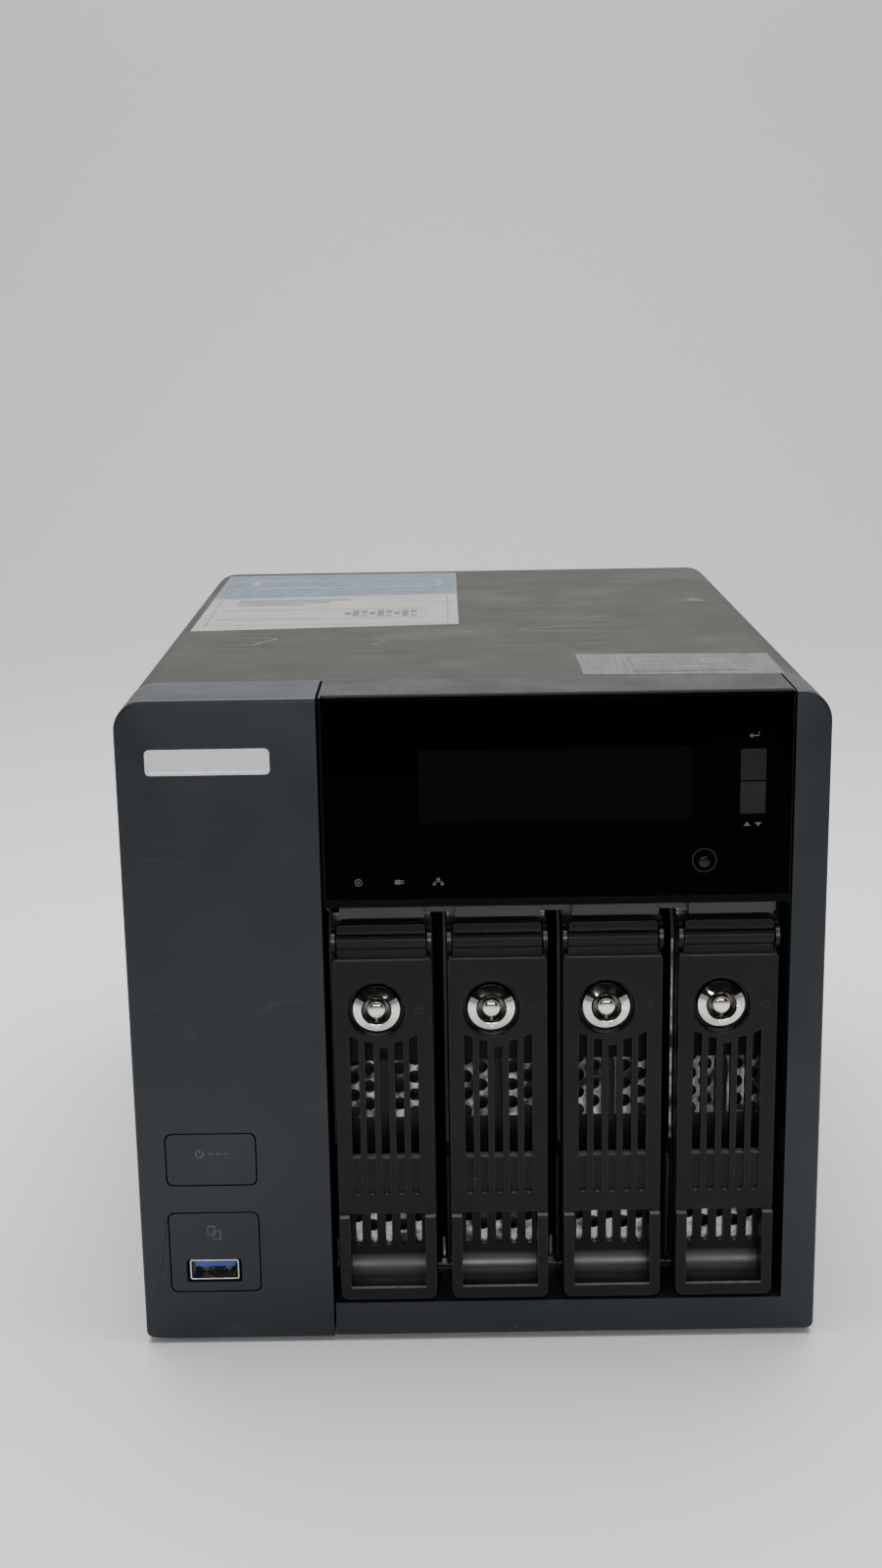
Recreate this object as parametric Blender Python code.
"""Four-bay desktop network storage unit, modelled piece by piece.

Frame: +X to the right, +Y to the back, +Z up, origin on the ground under the middle of the case.
Sizes are in millimetres, and every mesh is scaled to metres when its object is made.
Depths called d are measured back from the front plane.
"""

import math

import bpy
import bmesh
from mathutils import Matrix, Vector

MM = 0.001                      # metres in a millimetre

# Driving sizes of the case
WIDTH = 180.0
DEPTH = 235.0
HEIGHT = 177.0
FRONT = -DEPTH / 2              # Y of the front plane, which the tray latches reach
BACK = DEPTH / 2
SIDE = WIDTH / 2
CORNER = 8.0                    # radius of the case's top corners
BOTTOM_CORNER = 2.0
FOOT_HEIGHT = 2.3
BEZEL_BOTTOM = 1.5              # the front mouldings hang just below the base plate
GAP = 0.3                       # clearance between touching pieces
SHEET = 1.0                     # steel sheet thickness
COVER_DROP = 0.2                # the cover's top lies this far below the front mouldings' top

# Front mouldings
FACE = 0.5                      # depth of their front faces
BEZEL_DEPTH = 24.2
SKIN = 2.2                      # moulded wall thickness
COLUMN_EDGE = -39.2             # the left column ends here
BAY_LEFT = -38.6
BAY_RIGHT = 81.0
BAY_FLOOR = 11.2
BAY_ROOF = 122.2                # underside of the display housing
WINDOW_BOTTOM = 124.5
WINDOW_THICKNESS = 2.6
DISPLAY_WALL = (3.4, 5.0)       # depths of the housing wall behind the window

# Control pieces on the front: (left, right), (bottom, top)
POWER_BUTTON = ((-82.15, -58.65), (46.2, 60.55))
COPY_BUTTON = ((-82.3, -58.6), (15.4, 38.0))
USB_CUTOUT = ((-78.2, -63.5), (17.9, 24.65))
ENTER_BUTTON = ((67.2, 73.7), (154.1, 162.3))
SELECT_BUTTON = ((67.2, 73.7), (145.4, 153.8))
LCD_GLASS = ((-14.2, 55.2), (144.1, 163.5))
BUTTON_CLEARANCE = 0.35
FLANGE = 1.3                    # how far a button's flange reaches past its hole

# Drive bays
BAYS = 4
BAY_PITCH = 29.85
BAY_CENTRE = 20.6

# One tray, with x measured from the middle of its lever
TRAY_HALF = 12.9
TRAY_BOTTOM = 12.4
TRAY_TOP = 117.2
TRAY_BACK = 10.1                # depth of the back of the plastic tray front
RAIL_FRONT = 6.4
RAIL_INNER = 10.6
HINGE_D = 3.8                   # lever hinge line
HINGE_Z = 112.3
KNUCKLE_R = 2.4
LEVER_FRONT = 1.6
LEVER_BACK = 4.6
LEVER_BOTTOM = 36.7
LEVER_TOP = 107.6
SLOT_PITCH = 3.87
SLOT_WIDTH = 2.2
SLOT_BOTTOM = 52.7
SLOT_TOPS = (83.5, 85.5, 87.1)  # middle slot, next pair, outer pair
LOCK_X = -1.65
LOCK_Z = 94.0
LOCK_RECESS_R = 7.35
LOCK_RING_R = 6.2
LOCK_CORE_R = 3.7
LOCK_D = 1.3                    # depth of the lock's face
LOCK_BAR = (77.2, 89.0)         # heights of the bar behind the lever, under the lock
CAM_DEPTHS = (8.3, 9.3)
CAM_LENGTH = 10.0
CAM_HALF = 1.8
LATCH_BACK = 3.1
LATCH_INNER = 10.05
LATCH_BOTTOM = 12.5
LATCH_TOP = 36.1
LATCH_BAR_TOP = 15.7
LATCH_LIP = 1.2                 # depth where the bar's top starts to slope down to its back
LATCH_SLOPE = 1.9               # how far it slopes down
LATCH_PIVOT_D = 4.9
LATCH_PIVOT_Z = 39.0
LATCH_POCKET_D = 2.7            # depth of the lever's pocket, which clears the tilting latch
CHEEK_D = 3.4                   # depth of the tray's foot and of the cheeks beside the scoop
CHEEK_TOP = 30.8
PANEL_D = 9.2                   # depth of the thin slotted panel above the scoop
SCOOP_D = 2.2                   # the finger scoop's floor is an arc round this depth
SCOOP_Z = 21.5
SCOOP_R = PANEL_D - SCOOP_D
LOWER_SLOT_PITCH = 4.03
LOWER_SLOT_WIDTH = 1.7
LOWER_SLOTS = (23.7, 38.5)
RECESS_BACK = 3.9               # depth of the floor of the recess round the lock

# Sled, drive and cage
SLED_LEFT = -14.0
SLED_SHEET = 0.8
SLED_BOTTOM = 13.9
SLED_TOP = 117.9
SLED_LENGTH = 155.0
DRIVE = ((-12.9, 13.2), (13.5, 160.5), (15.1, 116.7))    # x, depth, z
CAGE_FRONT = FRONT + BEZEL_DEPTH + 0.6
CAGE_BACK = 46.2
CAGE_TOP = 120.2
CAGE_BOTTOM = 11.4

# Rear
REAR_PLATE = (115.2, 116.2)     # Y of the rear panel
LIP = (113.9, 114.9)            # Y of the cover's folded lip in front of it
FAN_CENTRE = (21.0, 66.0)       # X, Z
FAN_SIZE = 92.0
FAN_BORE_R = 43.6
FAN_DEPTHS = (89.9, 114.9)
PSU_X = (-0.5, 81.0)
PSU_Y = (-34.8, 114.9)
PSU_Z = (124.0, 164.5)
PSU_FAN = (20.5, 144.25)
INLET = (60.0, 144.5)           # X, Z of the mains inlet
SCREWS = ((-84.5, 150.0), (84.5, 150.0), (0.0, 171.5))
FEET = ((-72.0, -82.0), (72.0, -82.0), (-72.0, 82.0), (72.0, 82.0))

LAN_BODY = ((-78.1, -64.7), (97.0, 116.9), (58.0, 90.2))
LAN_SOCKETS = ((60.2, 71.9), (76.3, 88.0))
USB_BODY = ((-78.1, -62.6), (99.0, 116.9), (98.0, 112.6))
USB_SOCKETS = ((-76.9, -71.8), (-69.2, -64.1))
VIDEO_Z = 133.4
VIDEO_X = -71.85

# Colour, metallic, roughness
MATERIALS = {
    "cover_steel": ((0.16, 0.15, 0.14), 0.9, 0.4),
    "galvanised_steel": ((0.45, 0.46, 0.47), 0.9, 0.4),
    "bezel_plastic": ((0.035, 0.042, 0.055), 0.0, 0.5),
    "tray_plastic": ((0.012, 0.012, 0.014), 0.0, 0.35),
    "window_acrylic": ((0.01, 0.01, 0.012), 0.0, 0.08),
    "light_guide": ((0.25, 0.26, 0.27), 0.0, 0.4),
    "lcd_glass": ((0.02, 0.03, 0.05), 0.0, 0.1),
    "chrome": ((0.6, 0.6, 0.6), 1.0, 0.15),
    "port_shell": ((0.5, 0.5, 0.5), 1.0, 0.25),
    "drive_casting": ((0.3, 0.3, 0.31), 0.8, 0.45),
    "circuit_board": ((0.02, 0.12, 0.05), 0.0, 0.5),
    "fan_plastic": ((0.015, 0.015, 0.015), 0.0, 0.45),
    "foot_rubber": ((0.02, 0.02, 0.02), 0.0, 0.9),
}


# ---------------------------------------------------------------- shapes, in millimetres

AXES = {"x": (1, 2, 0), "y": (0, 2, 1), "z": (0, 1, 2)}    # outline's two axes, then the sweep's


def prism(axis, outline, span):
    """Closed mesh of a flat outline swept along an axis over a (low, high) span."""
    first, second, along = AXES[axis]
    bm = bmesh.new()
    rings = []
    for place in span:
        ring = []
        for point in outline:
            co = [0.0, 0.0, 0.0]
            co[first], co[second], co[along] = point[0], point[1], place
            ring.append(bm.verts.new(co))
        rings.append(ring)
    count = len(outline)
    bm.faces.new(rings[0])
    bm.faces.new(list(reversed(rings[1])))
    for i in range(count):
        j = (i + 1) % count
        bm.faces.new((rings[0][j], rings[0][i], rings[1][i], rings[1][j]))
    bmesh.ops.recalc_face_normals(bm, faces=bm.faces)
    mesh = bpy.data.meshes.new("shape")
    bm.to_mesh(mesh)
    bm.free()
    return mesh


def block(x, y, z):
    """Box between three (low, high) pairs."""
    outline = [(x[0], y[0]), (x[1], y[0]), (x[1], y[1]), (x[0], y[1])]
    return prism("z", outline, z)


def deep(x, d, z):
    """Box whose middle pair is a depth behind the front plane."""
    return block(x, (FRONT + d[0], FRONT + d[1]), z)


def arc(centre, radius, start, end, steps):
    """Points of an arc, angles in degrees."""
    points = []
    for i in range(steps + 1):
        angle = math.radians(start + (end - start) * i / steps)
        points.append((centre[0] + radius * math.cos(angle), centre[1] + radius * math.sin(angle)))
    return points


def disc(axis, centre, radius, span, sides=24):
    """Round bar along an axis. centre is in the other two axes."""
    turn = 180.0 / sides
    return prism(axis, arc(centre, radius, turn, 360.0 - turn, sides - 1), span)


def rounded(left, right, bottom, top, radii, steps=5):
    """Rectangle with the corner radii bottom left, bottom right, top right, top left."""
    corners = (
        (left, bottom, 1, 1, 180.0),
        (right, bottom, -1, 1, 270.0),
        (right, top, -1, -1, 0.0),
        (left, top, 1, -1, 90.0),
    )
    points = []
    for (x, z, sx, sz, start), radius in zip(corners, radii):
        if radius:
            points += arc((x + sx * radius, z + sz * radius), radius, start, start + 90.0, steps)
        else:
            points.append((x, z))
    return points


def carve(adds, cuts=()):
    """Joins the meshes of adds, takes away those of cuts, and returns one mesh."""
    holder = bpy.data.objects.new("holder", adds[0])
    bpy.context.scene.collection.objects.link(holder)
    tools = []
    for operation, meshes in (("UNION", adds[1:]), ("DIFFERENCE", cuts)):
        for mesh in meshes:
            tool = bpy.data.objects.new("tool", mesh)
            bpy.context.scene.collection.objects.link(tool)
            modifier = holder.modifiers.new("carve", "BOOLEAN")
            modifier.operation = operation
            modifier.solver = "EXACT"
            modifier.object = tool
            tools.append(tool)
    depsgraph = bpy.context.evaluated_depsgraph_get()
    result = bpy.data.meshes.new_from_object(holder.evaluated_get(depsgraph))
    for tool in [holder] + tools:
        bpy.data.objects.remove(tool)
    return result


# ---------------------------------------------------------------- objects

def material(name):
    """The named material, made at its first use."""
    found = bpy.data.materials.get(name)
    if found:
        return found
    colour, metallic, roughness = MATERIALS[name]
    made = bpy.data.materials.new(name)
    made.use_nodes = True
    shader = made.node_tree.nodes["Principled BSDF"]
    shader.inputs["Base Color"].default_value = (*colour, 1.0)
    shader.inputs["Metallic"].default_value = metallic
    shader.inputs["Roughness"].default_value = roughness
    return made


def finish(mesh, material_name, pivot=(0.0, 0.0, 0.0)):
    """Scales a millimetre mesh to metres around its pivot and gives it its material."""
    mesh.transform(Matrix.Translation(-Vector(pivot)))
    mesh.transform(Matrix.Scale(MM, 4))
    mesh.materials.clear()
    mesh.materials.append(material(material_name))
    mesh.shade_smooth()
    mesh.set_sharp_from_angle(angle=math.radians(30.0))
    return mesh


def place(name, mesh, pivot=(0.0, 0.0, 0.0), parent=None):
    """A named object at its pivot, which is in millimetres in its parent's frame."""
    made = bpy.data.objects.new(name, mesh)
    made.location = Vector(pivot) * MM
    made.parent = parent
    bpy.context.scene.collection.objects.link(made)
    return made


def piece(name, material_name, adds, cuts=(), pivot=(0.0, 0.0, 0.0)):
    """Carves, finishes and places one piece."""
    return place(name, finish(carve(adds, cuts), material_name, pivot), pivot)


def bay_centres():
    return [BAY_CENTRE + (i - (BAYS - 1) / 2) * BAY_PITCH for i in range(BAYS)]


# ---------------------------------------------------------------- steel case

def base_plate():
    span = (CAGE_FRONT, BACK - 2.6)
    edge = SIDE - SHEET - 0.4
    adds = [block((-edge, edge), span, (2.6, 3.6))]
    for side in (-1, 1):
        flange = sorted((side * edge, side * (edge - SHEET)))
        adds.append(block(flange, span, (2.6, 14.0)))
    cuts = [block((-60.0 + 20.0 * i, -56.0 + 20.0 * i), (-40.0, 40.0), (0.0, 5.0)) for i in range(7)]
    piece("base_plate", "galvanised_steel", adds, cuts)


def outer_cover():
    """Folded over the top and both sides, with a lip behind for the rear screws."""
    bottom = 2.0
    inner = SIDE - SHEET
    top = HEIGHT - COVER_DROP
    roof = top - SHEET
    corner_z = top - CORNER
    corner_x = SIDE - CORNER
    lip_edge = PSU_X[1] + 0.8
    outline = [(-SIDE, bottom)]
    outline += arc((-corner_x, corner_z), CORNER, 180.0, 90.0, 6)
    outline += arc((corner_x, corner_z), CORNER, 90.0, 0.0, 6)
    outline += [(SIDE, bottom), (inner, bottom)]
    outline += arc((corner_x, corner_z), CORNER - SHEET, 0.0, 90.0, 6)
    outline += arc((-corner_x, corner_z), CORNER - SHEET, 90.0, 180.0, 6)
    outline.append((-inner, bottom))
    adds = [
        prism("y", outline, (FRONT + BEZEL_DEPTH + GAP, BACK)),
        block((-inner - 0.5, -lip_edge), LIP, (16.0, corner_z)),
        block((lip_edge, inner + 0.5), LIP, (16.0, corner_z)),
        block((-corner_x, corner_x), LIP, (167.0, roof + 0.5)),
    ]
    cuts = [disc("y", spot, 1.7, (LIP[0] - 1, LIP[1] + 1), 12) for spot in SCREWS]
    for i in range(10):
        start = FRONT + 45.0 + 7.0 * i
        cuts.append(block((-SIDE - 1, SIDE + 1), (start, start + 3.0), (24.0, 52.0)))
    piece("outer_cover", "cover_steel", adds, cuts)


def rear_panel():
    """Punched steel sheet: fan slots, supply window, ports, screw holes and a lock slot."""
    outline = rounded(-88.4, 88.4, 4.2, 175.4, (0, 0, 6.8, 6.8))
    flange = block((-86.0, 86.0), (108.0, REAR_PLATE[0] + 0.5), (4.2, 5.2))
    through = (REAR_PLATE[0] - 1, REAR_PLATE[1] + 1)
    cuts = [disc("y", spot, 1.7, through, 12) for spot in SCREWS]
    slot_pitch = 6.4
    for row in range(-6, 7):
        z = FAN_CENTRE[1] + row * slot_pitch
        half = math.sqrt(FAN_BORE_R ** 2 - (row * slot_pitch) ** 2) - 1.0
        span = (FAN_CENTRE[0] - half, FAN_CENTRE[0] + half)
        cuts.append(block(span, through, (z - 1.7, z + 1.7)))
    cuts.append(block((2.0, 78.5), through, (127.0, 162.0)))
    for body in (LAN_BODY, USB_BODY):
        cuts.append(block((body[0][0] - 0.4, body[0][1] + 0.4), through,
                          (body[2][0] - 0.4, body[2][1] + 0.4)))
    cuts.append(prism("y", video_outline(0.5), through))
    cuts.append(block((-51.5, -48.5), through, (20.0, 27.0)))
    piece("rear_panel", "galvanised_steel", [prism("y", outline, REAR_PLATE), flange], cuts)


def drive_cage():
    """Open box around the bays, with a pair of guide rails above and below every sled."""
    left = (-40.2, -39.4)
    right = (80.4, 81.2)
    span = (CAGE_FRONT, CAGE_BACK)
    adds = [
        block((left[0], right[1]), span, (CAGE_BOTTOM, CAGE_BOTTOM + SLED_SHEET)),
        block((left[0], right[1]), span, (CAGE_TOP - SLED_SHEET, CAGE_TOP)),
        block(left, span, (3.9, CAGE_TOP)),
        block(right, span, (3.9, CAGE_TOP)),
    ]
    for x in bay_centres():
        outer = (x - 15.4, x - 14.6)
        inner = (x - 5.4, x - 4.6)
        adds.append(block(outer, span, (CAGE_BOTTOM + 0.4, 18.0)))
        adds.append(block(outer, span, (114.0, CAGE_TOP - 0.4)))
        adds.append(block(inner, span, (CAGE_BOTTOM + 0.4, 14.6)))
        adds.append(block(inner, span, (117.2, CAGE_TOP - 0.4)))
    piece("drive_cage", "galvanised_steel", adds)


def foot(number, spot):
    piece(f"foot_{number}", "foot_rubber", [disc("z", spot, 7.0, (0.0, FOOT_HEIGHT), 20)])


def cover_screw(number, spot):
    head = disc("y", spot, 3.0, (REAR_PLATE[1] + GAP, BACK), 16)
    shank = disc("y", spot, 1.4, (106.0, REAR_PLATE[1] + 0.8), 12)
    piece(f"cover_screw_{number}", "galvanised_steel", [head, shank])


# ---------------------------------------------------------------- electronics inside

def backplane_board():
    y = (CAGE_BACK + GAP, CAGE_BACK + GAP + 1.6)
    adds = [block((-37.0, 79.0), y, (16.0, 116.0))]
    cuts = []
    for x in bay_centres():
        adds.append(block((x + 5.0, x + 11.6), (y[0] - 2.9, y[0] + 0.5), (22.0, 64.0)))
        cuts.append(block((x - 9.0, x + 2.0), (y[0] - 1, y[1] + 1), (26.0, 106.0)))
    piece("backplane_board", "circuit_board", adds, cuts)


def mainboard():
    """Stands upright behind the left column and carries the rear ports."""
    sheet = (-80.0, -78.4)
    fins = (-76.0, -66.0)
    adds = [
        block(sheet, (-84.0, 112.0), (10.0, 158.0)),
        block((sheet[1] - 0.5, fins[1]), (-30.0, 10.0), (60.0, 100.0)),
        block((sheet[1] - 0.5, -74.5), (-32.0, 36.0), (118.0, 122.0)),
    ]
    cuts = [block((fins[0], fins[1] + 1), (-31.0, 11.0), (64.0 + 6.4 * i, 68.0 + 6.4 * i))
            for i in range(5)]
    piece("mainboard", "circuit_board", adds, cuts)


def power_supply():
    """Folded case with vents in front, an inlet cut-out, and a duct around its small fan."""
    wall = 1.0
    fan_x, fan_z = PSU_FAN
    bore = 18.4
    duct_front = PSU_Y[1] - 20.0
    adds = [carve(
        [block(PSU_X, PSU_Y, PSU_Z)],
        [block((PSU_X[0] + wall, PSU_X[1] - wall), (PSU_Y[0] + wall, PSU_Y[1] - wall),
               (PSU_Z[0] + wall, PSU_Z[1] - wall)),
         block((PSU_X[0] + 5, PSU_X[1] - 5), (PSU_Y[0] - 1, PSU_Y[0] + 2), (140.0, 143.0))],
    )]
    duct = carve(
        [block((PSU_X[0] + 0.5, fan_x + 20.5), (duct_front, PSU_Y[1] - 0.5),
               (PSU_Z[0] + 0.5, PSU_Z[1] - 0.5))],
        [disc("y", PSU_FAN, bore, (duct_front - 1, PSU_Y[1] + 1), 20)],
    )
    adds.append(duct)
    adds.append(disc("y", PSU_FAN, 6.0, (duct_front, duct_front + 3.2), 12))
    adds.append(block((fan_x - bore - 1, fan_x + bore + 1), (duct_front, duct_front + 1.5),
                      (fan_z - 1.5, fan_z + 1.5)))
    cuts = [block((INLET[0] - 13.8, INLET[0] + 13.8), (PSU_Y[1] - 2, PSU_Y[1] + 1),
                  (INLET[1] - 10.3, INLET[1] + 10.3))]
    for row in range(-3, 4):
        z = fan_z + row * 4.8
        half = math.sqrt(bore ** 2 - (row * 4.8) ** 2) - 0.8
        cuts.append(block((fan_x - half, fan_x + half), (PSU_Y[1] - 2, PSU_Y[1] + 1),
                          (z - 1.5, z + 1.5)))
    for row in range(-2, 3):
        z = fan_z + row * 6.0
        cuts.append(block((PSU_X[0] + 6, PSU_X[1] - 6), (PSU_Y[0] - 1, PSU_Y[0] + 2),
                          (z - 1.2, z + 1.2)))
    piece("power_supply", "galvanised_steel", adds, cuts)


def ac_inlet():
    """Three-pin mains inlet with chamfered lower corners, open to the back."""
    x, z = INLET
    face = (115.2, 116.6)
    socket = [(x - 12, z + 8), (x - 12, z - 4), (x - 8, z - 8), (x + 8, z - 8),
              (x + 12, z - 4), (x + 12, z + 8)]
    adds = [
        block((x - 13.5, x + 13.5), (99.5, 115.7), (z - 10.0, z + 10.0)),
        block((x - 14.7, x + 14.7), face, (z - 11.1, z + 11.1)),
    ]
    shell = carve(adds, [prism("y", socket, (101.5, 118.0))])
    pins = [block((x + dx - 1.0, x + dx + 1.0), (101.0, 114.8), (z + dz - 2.0, z + dz + 2.0))
            for dx, dz in ((-7.0, -1.0), (7.0, -1.0), (0.0, 3.5))]
    piece("ac_inlet", "tray_plastic", [shell] + pins)


def video_outline(grow):
    """Tapered shell of the video port, longer side away from the board."""
    half, slant = 8.45 + grow, 1.0
    near, far = VIDEO_X - 4.15 - grow, VIDEO_X + 4.15 + grow
    return [(near, VIDEO_Z - half + slant), (far, VIDEO_Z - half), (far, VIDEO_Z + half),
            (near, VIDEO_Z + half - slant)]


def video_port():
    flange = block((-78.1, -65.6), (113.2, 114.9), (VIDEO_Z - 15.4, VIDEO_Z + 15.4))
    body = block((-78.1, -66.6), (101.0, 113.5), (VIDEO_Z - 8.0, VIDEO_Z + 8.0))
    shell = prism("y", video_outline(0.0), (114.0, 117.0))
    piece("video_port", "port_shell", [flange, body, shell])


def lan_jacks():
    cuts = [block((-76.6, -68.3), (103.9, 118.0), socket) for socket in LAN_SOCKETS]
    piece("lan_jacks", "port_shell", [block(*LAN_BODY)], cuts)


def rear_usb_ports():
    opening = (99.0, 111.5)
    shell = carve([block(*USB_BODY)], [block(x, (102.0, 118.0), opening) for x in USB_SOCKETS])
    tongues = [block((x[0] + 2.9, x[0] + 4.5), (101.5, 115.5), (99.9, 110.6)) for x in USB_SOCKETS]
    piece("rear_usb_ports", "port_shell", [shell] + tongues)


def front_usb_port():
    """Metal shell with the contact tongue in its upper half, open to the front."""
    left, right = USB_CUTOUT[0][0] + 0.8, USB_CUTOUT[0][1] - 0.8
    low, high = USB_CUTOUT[1][0] + 0.5, USB_CUTOUT[1][1] - 0.5
    wall = 0.3
    shell = carve(
        [deep((left, right), (1.3, 15.5), (low, high)),
         deep((left - 1.0, right + 1.0), (15.0, 20.0), (low - 1.5, high + 1.5))],
        [deep((left + wall, right - wall), (0.0, 13.7), (low + wall, high - wall))],
    )
    tongue = deep((left + 1.1, right - 1.1), (2.8, 14.2), (21.6, 23.3))
    piece("front_usb_port", "port_shell", [shell, tongue])


# ---------------------------------------------------------------- fans

def fan_blades(centre, radii, span, count, chord, thickness=1.2):
    """Pitched blades around a Y axis, one mesh each."""
    blades = []
    middle = (span[0] + span[1]) / 2
    reach = (span[1] - span[0]) / 2
    for number in range(count):
        turn = 2 * math.pi * number / count
        bm = bmesh.new()
        rings = []
        for share in (0.0, 0.5, 1.0):
            radius = radii[0] + (radii[1] - radii[0]) * share
            half = chord * (0.8 + 0.4 * share) / 2
            corners = ((-half, -reach), (-half + thickness, -reach), (half, reach),
                       (half - thickness, reach))
            ring = []
            for along, depth in corners:
                angle = turn + along / radii[1]
                ring.append(bm.verts.new((centre[0] + radius * math.cos(angle), middle + depth,
                                          centre[1] + radius * math.sin(angle))))
            rings.append(ring)
        bm.faces.new(rings[0])
        bm.faces.new(rings[-1])
        for near, far in zip(rings, rings[1:]):
            for i in range(4):
                j = (i + 1) % 4
                bm.faces.new((near[i], near[j], far[j], far[i]))
        bmesh.ops.recalc_face_normals(bm, faces=bm.faces)
        mesh = bpy.data.meshes.new("blade")
        bm.to_mesh(mesh)
        bm.free()
        blades.append(mesh)
    return blades


def fan_frame():
    x, z = FAN_CENTRE
    half = FAN_SIZE / 2
    strut = (FAN_DEPTHS[1] - 3.0, FAN_DEPTHS[1])
    outline = rounded(x - half, x + half, z - half, z + half, (3.0,) * 4, 2)
    ring = carve([prism("y", outline, FAN_DEPTHS)],
                 [disc("y", FAN_CENTRE, FAN_BORE_R, (FAN_DEPTHS[0] - 1, FAN_DEPTHS[1] + 1), 32)])
    holes = [disc("y", (x + sx * 41.25, z + sz * 41.25), 2.15,
                  (FAN_DEPTHS[0] - 1, FAN_DEPTHS[1] + 1), 8) for sx in (-1, 1) for sz in (-1, 1)]
    adds = [
        ring,
        disc("y", FAN_CENTRE, 18.0, strut, 24),
        block((x - FAN_BORE_R - 1, x + FAN_BORE_R + 1), strut, (z - 2.0, z + 2.0)),
        block((x - 2.0, x + 2.0), strut, (z - FAN_BORE_R - 1, z + FAN_BORE_R + 1)),
    ]
    piece("fan_frame", "fan_plastic", adds, holes)


def fan_rotor():
    span = (FAN_DEPTHS[0] + 1.6, FAN_DEPTHS[1] - 3.4)
    hub = disc("y", FAN_CENTRE, 18.0, span, 24)
    blades = fan_blades(FAN_CENTRE, (16.5, 42.3), (span[0] + 1, span[1] - 1), 7, 26.0)
    piece("fan_rotor", "fan_plastic", [hub] + blades, pivot=(FAN_CENTRE[0], span[0], FAN_CENTRE[1]))


def psu_fan_rotor():
    span = (PSU_Y[1] - 16.4, PSU_Y[1] - 3.0)
    hub = disc("y", PSU_FAN, 8.0, span, 16)
    blades = fan_blades(PSU_FAN, (7.2, 17.6), (span[0] + 1, span[1] - 1), 5, 11.0)
    piece("psu_fan_rotor", "fan_plastic", [hub] + blades, pivot=(PSU_FAN[0], span[0], PSU_FAN[1]))


# ---------------------------------------------------------------- front mouldings

def front_frame():
    """Right border and bottom bar in one L-shaped moulding, hollow from behind."""
    depth = (FRONT + FACE, FRONT + BEZEL_DEPTH)
    hollow = (FRONT + FACE + SKIN, FRONT + BEZEL_DEPTH + 1)
    border = rounded(BAY_RIGHT, SIDE, BEZEL_BOTTOM, HEIGHT, (0, BOTTOM_CORNER, CORNER, 0))
    inner = rounded(BAY_RIGHT + SKIN, SIDE - SKIN, BEZEL_BOTTOM + SKIN, HEIGHT - SKIN,
                    (0, 0, CORNER - SKIN - 1.5, 0))
    adds = [
        prism("y", border, depth),
        block((BAY_LEFT, SIDE - BOTTOM_CORNER - 2), depth, (BEZEL_BOTTOM, BAY_FLOOR)),
    ]
    cuts = [
        prism("y", inner, hollow),
        block((BAY_LEFT + SKIN, SIDE - SKIN), hollow, (BEZEL_BOTTOM + SKIN, BAY_FLOOR - SKIN)),
    ]
    piece("front_frame", "bezel_plastic", adds, cuts)


def hole(button, d):
    """Cutter for a button's hole, with its running clearance."""
    (left, right), (low, high) = button
    grow = BUTTON_CLEARANCE
    return deep((left - grow, right + grow), d, (low - grow, high + grow))


def left_panel():
    outline = rounded(-SIDE, COLUMN_EDGE, BEZEL_BOTTOM, HEIGHT, (BOTTOM_CORNER, 0, 0, CORNER))
    inner = rounded(-SIDE + SKIN, COLUMN_EDGE - SKIN, BEZEL_BOTTOM + SKIN, HEIGHT - SKIN,
                    (0, 0, 0, CORNER - SKIN))
    cuts = [
        prism("y", inner, (FRONT + FACE + 3.0, FRONT + BEZEL_DEPTH + 1)),
        hole(POWER_BUTTON, (0.0, 5.0)),
        hole(COPY_BUTTON, (0.0, 5.0)),
    ]
    adds = [prism("y", outline, (FRONT + FACE, FRONT + BEZEL_DEPTH))]
    piece("left_panel", "bezel_plastic", adds, cuts)


def panel_button(name, button, cuts=()):
    """Cap flush in the left panel, a flange behind the wall and a stem to the switch."""
    (left, right), (low, high) = button
    flange_d = (FACE + 3.4, FACE + 4.8)
    middle = (left + right) / 2
    stem_top = high - 3.0
    adds = [
        deep((left, right), (FACE, flange_d[1]), (low, high)),
        deep((left - FLANGE, right + FLANGE), flange_d, (low - FLANGE, high + FLANGE)),
        deep((middle - 2.0, middle + 2.0), (flange_d[1] - 0.5, 14.0), (stem_top - 4.0, stem_top)),
    ]
    pivot = (middle, FRONT + FACE, (low + high) / 2)
    piece(name, "bezel_plastic", adds, cuts, pivot)


def display_button(name, button, flange_low, flange_high):
    """Small cap that passes through the window, with a flange behind the housing wall."""
    (left, right), (low, high) = button
    flange_d = (DISPLAY_WALL[1] + 0.4, DISPLAY_WALL[1] + 1.6)
    adds = [
        deep((left, right), (FACE, 8.0), (low, high)),
        deep((left - FLANGE, right + FLANGE), flange_d, (low - flange_low, high + flange_high)),
    ]
    pivot = ((left + right) / 2, FRONT + FACE, (low + high) / 2)
    piece(name, "window_acrylic", adds, pivot=pivot)


def buttons_opening(d):
    """Cutter that lets the enter and select buttons through as a pair."""
    pair = (ENTER_BUTTON[0], (SELECT_BUTTON[1][0], ENTER_BUTTON[1][1]))
    return hole(pair, d)


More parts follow.
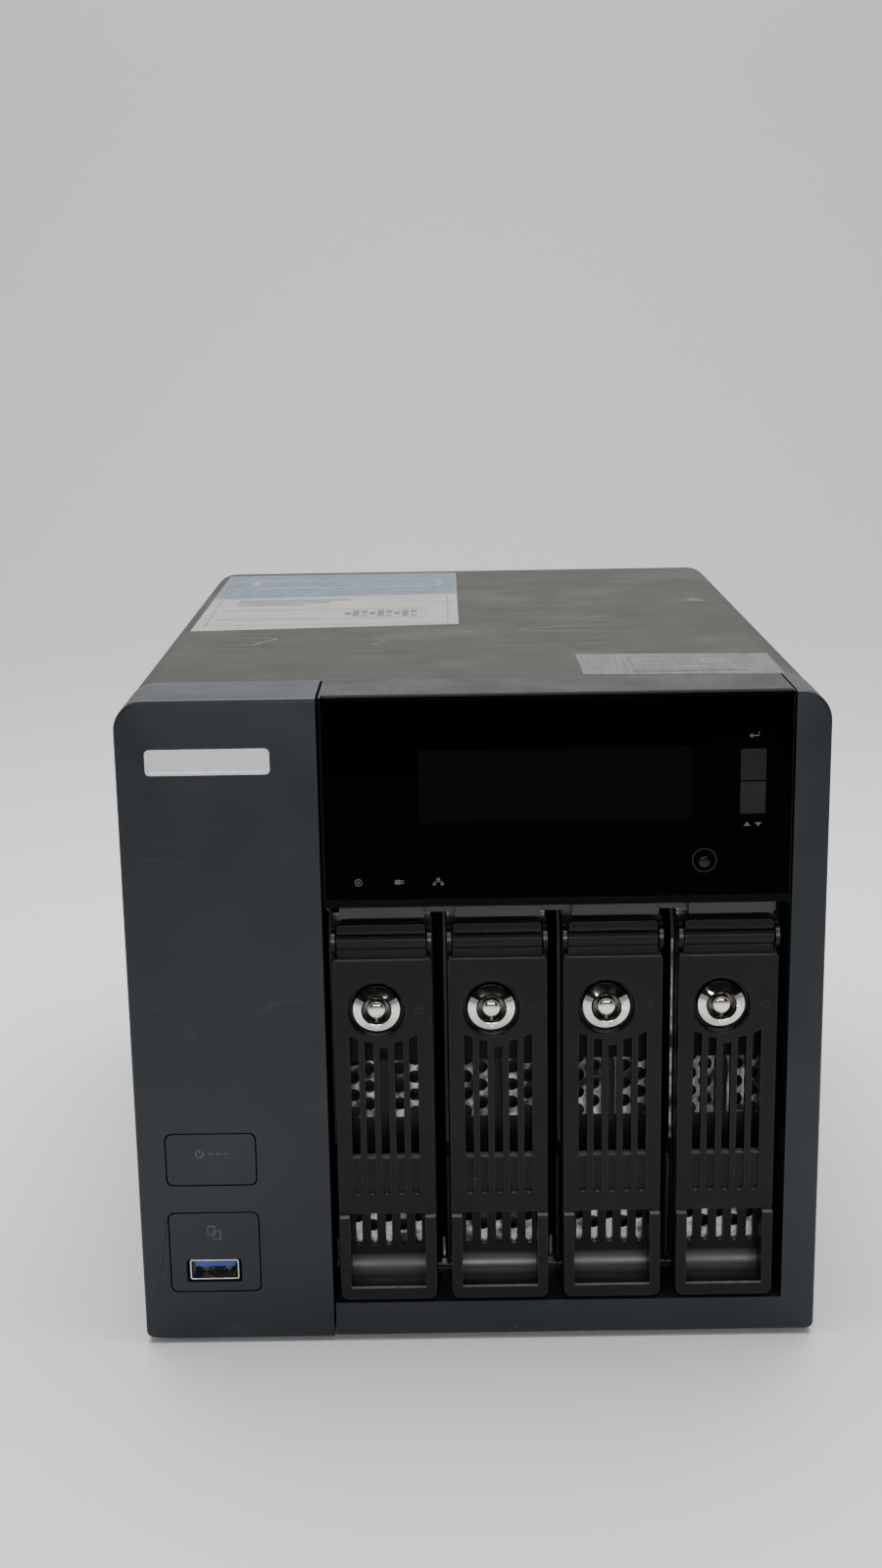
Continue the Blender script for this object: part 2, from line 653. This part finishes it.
def display_housing():
    right = BAY_RIGHT - 0.4
    window_top = HEIGHT + 1
    adds = [deep((BAY_LEFT, right), (FACE, BEZEL_DEPTH), (BAY_ROOF, HEIGHT))]
    (glass_left, glass_right), (glass_low, glass_high) = LCD_GLASS
    cuts = [
        deep((-37.8, 80.0), (-1.0, DISPLAY_WALL[0]), (WINDOW_BOTTOM - GAP, window_top)),
        deep((BAY_LEFT + SKIN, right - SKIN), (DISPLAY_WALL[1], BEZEL_DEPTH + 1),
             (BAY_ROOF + SKIN, HEIGHT - SKIN)),
        deep((glass_left - GAP, glass_right + GAP), (3.0, 6.0), (glass_low - GAP, glass_high + GAP)),
        buttons_opening((3.0, 6.0)),
    ]
    piece("display_housing", "bezel_plastic", adds, cuts)


def display_window():
    """Glossy cover plate that also forms the front edge of the top."""
    adds = [deep((-37.5, 79.7), (FACE, FACE + WINDOW_THICKNESS), (WINDOW_BOTTOM, HEIGHT))]
    piece("display_window", "window_acrylic", adds, [buttons_opening((-1.0, 6.0))])


def lcd_module():
    glass_x, glass_z = LCD_GLASS
    adds = [
        deep(glass_x, (3.9, 7.5), glass_z),
        deep((-20.0, 61.0), (7.0, 8.6), (138.0, 170.0)),
    ]
    piece("lcd_module", "lcd_glass", adds)


def light_guide():
    """One clear bar with a lens above every tray."""
    centres = bay_centres()
    adds = [deep((centres[0] - 11.0, centres[-1] + 11.6), (4.5, 7.0), (119.6, 121.6))]
    for x in centres:
        adds.append(deep((x - 10.6, x + 11.2), (1.6, 5.0), (119.0, BAY_ROOF - GAP)))
    piece("light_guide", "light_guide", adds)


# ---------------------------------------------------------------- trays, in their own frame

def sled_mesh():
    """Folded steel carrier: one side plate, guide flanges above and below, and a front wall."""
    span = (TRAY_BACK + GAP, SLED_LENGTH)
    flange = (SLED_LEFT, -6.0)
    adds = [
        deep((SLED_LEFT, SLED_LEFT + SLED_SHEET), span, (SLED_BOTTOM, SLED_TOP)),
        deep((SLED_LEFT, 12.6), (span[0], span[0] + SLED_SHEET), (SLED_BOTTOM, SLED_TOP)),
        deep(flange, span, (SLED_BOTTOM, SLED_BOTTOM + SLED_SHEET)),
        deep(flange, span, (SLED_TOP - SLED_SHEET, SLED_TOP)),
    ]
    return finish(carve(adds), "galvanised_steel")


def slots(z_spans, d, pitch=SLOT_PITCH, width=SLOT_WIDTH):
    """Cutters for the five vent slots. z_spans are the middle's, the next pair's and the outer's."""
    cutters = []
    for k in range(-2, 3):
        x = k * pitch
        half = width / 2
        cutters.append(deep((x - half, x + half), d, z_spans[abs(k)]))
    return cutters


def scoop():
    """Cutter for the finger scoop: open above, with a floor that curves out to the front below."""
    floor = arc((FRONT + SCOOP_D, SCOOP_Z), SCOOP_R, -80.0, 0.0, 10)
    above = CHEEK_TOP + 1.0
    outline = floor + [(FRONT + PANEL_D, above), (FRONT - 1.0, above), (FRONT - 1.0, floor[0][1])]
    return prism("x", outline, (-LATCH_INNER, LATCH_INNER))


def tray_front_mesh():
    """Plastic frame of the tray: hinge bar and ears above, rails, slotted panel and finger scoop."""
    full = (-TRAY_HALF, TRAY_HALF)
    back = TRAY_BACK
    hinge = (FRONT + HINGE_D, HINGE_Z)
    adds = [
        deep(full, (RAIL_FRONT + 0.8, back), (108.5, 117.0)),
        deep((-11.3, 11.3), (LEVER_FRONT, back), (115.2, 115.9)),
        deep((-11.3, 11.3), (LEVER_FRONT, LEVER_FRONT + 1.2), (115.2, TRAY_TOP)),
        deep(full, (8.8, back), LOCK_BAR),
        deep(full, (CHEEK_D, back), (TRAY_BOTTOM, CHEEK_TOP)),
        deep(full, (PANEL_D, back), (CHEEK_TOP - 1.0, 42.0)),
    ]
    for side in (-1, 1):
        rail = sorted((side * TRAY_HALF, side * RAIL_INNER))
        ear = sorted((side * TRAY_HALF, side * (TRAY_HALF - 1.0)))
        adds.append(deep(rail, (RAIL_FRONT, back), (TRAY_BOTTOM + 0.2, 117.0)))
        adds.append(deep(ear, (HINGE_D, back), (109.2, 116.0)))
        adds.append(disc("x", hinge, 3.1, ear, 20))
    cuts = [
        disc("x", hinge, 1.0, (-14.0, 14.0), 12),
        scoop(),
        deep((-12.2, -10.4), (CAM_DEPTHS[0] - GAP, CAM_DEPTHS[1] + GAP), (91.6, 100.8)),
    ]
    cuts += slots([LOWER_SLOTS] * 3, (PANEL_D - 1, back + 1), LOWER_SLOT_PITCH, LOWER_SLOT_WIDTH)
    return finish(carve(adds, cuts), "tray_plastic")


def lever_mesh():
    """Pull lever: a slotted plate under a hinge knuckle, with pins for the hinge and the latch."""
    hinge = (FRONT + HINGE_D, HINGE_Z)
    latch_pivot = (FRONT + LATCH_PIVOT_D, LATCH_PIVOT_Z)
    lock = (LOCK_X, LOCK_Z)
    half = TRAY_HALF - 0.1
    adds = [
        deep((-half, half), (LEVER_FRONT, LEVER_BACK), (LEVER_BOTTOM, LEVER_TOP)),
        disc("x", hinge, KNUCKLE_R, (-11.5, 11.5), 20),
        deep((-11.5, 11.5), (HINGE_D - 1.0, HINGE_D + 1.0), (LEVER_TOP - 0.6, HINGE_Z)),
        disc("x", hinge, 0.85, (-half, half), 12),
    ]
    cuts = [
        disc("y", lock, LOCK_RECESS_R, (FRONT, FRONT + RECESS_BACK), 32),
        disc("y", lock, LOCK_RING_R + GAP, (FRONT, FRONT + 6.0), 32),
    ]
    cuts += slots([(SLOT_BOTTOM, top) for top in SLOT_TOPS], (0.0, 6.0))
    for side in (-1, 1):
        rib = sorted((side * 9.3, side * 10.1))
        pin = sorted((side * 9.6, side * 12.3))
        pocket = sorted((side * 10.3, side * 14.0))
        adds.append(deep(rib, (LEVER_BACK - 0.6, 5.8), (LEVER_BOTTOM + 0.2, 42.0)))
        cuts.insert(0, deep(pocket, (LATCH_POCKET_D, 8.0), (30.0, 42.0)))
        adds.append(disc("x", latch_pivot, 0.8, pin, 12))
    plate = carve(adds[:4] + [m for m in adds[4::2]], cuts)
    pins = adds[5::2]
    pivot = (0.0, FRONT + HINGE_D, HINGE_Z)
    return finish(carve([plate] + pins), "tray_plastic", pivot)


def latch_mesh():
    """U-shaped pull at the foot of the lever, hung on two small pins behind it."""
    half = TRAY_HALF - 0.15
    corner = 2.0
    outline = arc((-half + corner, LATCH_BOTTOM + corner), corner, 180.0, 270.0, 4)
    outline += arc((half - corner, LATCH_BOTTOM + corner), corner, 270.0, 360.0, 4)
    outline += [(half, LATCH_TOP), (LATCH_INNER, LATCH_TOP), (LATCH_INNER, LATCH_BAR_TOP),
                (-LATCH_INNER, LATCH_BAR_TOP), (-LATCH_INNER, LATCH_TOP), (-half, LATCH_TOP)]
    adds = [prism("y", outline, (FRONT, FRONT + LATCH_BACK))]
    for side in (-1, 1):
        arm = sorted((side * 10.4, side * 12.6))
        adds.append(deep(arm, (LATCH_BACK - 0.5, 5.9), (33.0, LATCH_TOP - 0.3)))
        adds.append(deep(arm, (LATCH_BACK + 0.2, 5.9), (33.0, 41.0)))
    pivot = (0.0, FRONT + LATCH_PIVOT_D, LATCH_PIVOT_Z)
    bore = disc("x", (pivot[1], pivot[2]), 0.95, (-14.0, 14.0), 12)
    lip = FRONT + LATCH_LIP
    back = FRONT + LATCH_BACK + 0.1
    low = LATCH_BAR_TOP - LATCH_SLOPE
    above = LATCH_BAR_TOP + 0.2
    wedge = [(lip, LATCH_BAR_TOP), (back, low), (back, above), (lip, above)]
    slope = prism("x", wedge, (-LATCH_INNER, LATCH_INNER))
    return finish(carve(adds, [bore, slope]), "tray_plastic", pivot)


def lock_ring_mesh():
    centre = (LOCK_X, LOCK_Z)
    ring = disc("y", centre, LOCK_RING_R, (FRONT + LOCK_D + 0.2, FRONT + 6.2), 32)
    bore = disc("y", centre, LOCK_CORE_R + GAP, (FRONT, FRONT + 8.0), 24)
    return finish(carve([ring], [bore]), "chrome")


def lock_core_mesh():
    """Turning core with a raised middle in front and a locking cam behind."""
    centre = (LOCK_X, LOCK_Z)
    adds = [
        disc("y", centre, LOCK_CORE_R, (FRONT + LOCK_D + 0.6, FRONT + CAM_DEPTHS[0] + 0.4), 24),
        disc("y", centre, 2.35, (FRONT + LOCK_D, FRONT + LOCK_D + 0.8), 16),
        deep((LOCK_X - CAM_HALF, LOCK_X + CAM_HALF), CAM_DEPTHS, (LOCK_Z, LOCK_Z + CAM_LENGTH)),
    ]
    pivot = (LOCK_X, FRONT + 2.2, LOCK_Z)
    return finish(carve(adds), "chrome", pivot)


def drive_mesh():
    """Hard drive on its side, with a shallow recess on its board side."""
    (left, right), (near, far), (low, high) = DRIVE
    outline = rounded(left, right, low, high, (1.2,) * 4, 1)
    body = prism("y", outline, (FRONT + near, FRONT + far))
    recess = deep((right - 1.0, right + 1.0), (near + 45.0, far - 2.0), (low + 4.0, high - 4.0))
    return finish(carve([body], [recess]), "drive_casting")


def trays():
    """Four identical trays. Each tray's empty sits on the middle of its lever."""
    hinge = (0.0, FRONT + HINGE_D, HINGE_Z)
    latch = (0.0, FRONT + LATCH_PIVOT_D, LATCH_PIVOT_Z)
    lock = (LOCK_X, FRONT + 2.2, LOCK_Z)
    origin = (0.0, 0.0, 0.0)
    pieces = (
        ("sled", sled_mesh(), origin),
        ("front", tray_front_mesh(), origin),
        ("lever", lever_mesh(), hinge),
        ("latch", latch_mesh(), latch),
        ("lock_ring", lock_ring_mesh(), origin),
        ("lock_core", lock_core_mesh(), lock),
        ("drive", drive_mesh(), origin),
    )
    for number, x in enumerate(bay_centres(), start=1):
        middle = place(f"tray_{number}", None, (x, 0.0, 0.0))
        for word, mesh, pivot in pieces:
            place(f"tray_{number}_{word}", mesh, pivot, middle)


def main():
    for old in list(bpy.data.objects):
        bpy.data.objects.remove(old)
    base_plate()
    outer_cover()
    rear_panel()
    drive_cage()
    for number, spot in enumerate(FEET, start=1):
        foot(number, spot)
    for number, spot in enumerate(SCREWS, start=1):
        cover_screw(number, spot)
    backplane_board()
    mainboard()
    power_supply()
    ac_inlet()
    video_port()
    lan_jacks()
    rear_usb_ports()
    front_usb_port()
    fan_frame()
    fan_rotor()
    psu_fan_rotor()
    front_frame()
    left_panel()
    panel_button("power_button", POWER_BUTTON)
    usb_x, usb_z = USB_CUTOUT
    panel_button("copy_button", COPY_BUTTON, [deep(usb_x, (-1.0, 16.0), usb_z)])
    display_housing()
    display_window()
    lcd_module()
    display_button("enter_button", ENTER_BUTTON, 0.0, FLANGE)
    display_button("select_button", SELECT_BUTTON, FLANGE, 0.0)
    light_guide()
    trays()


main()
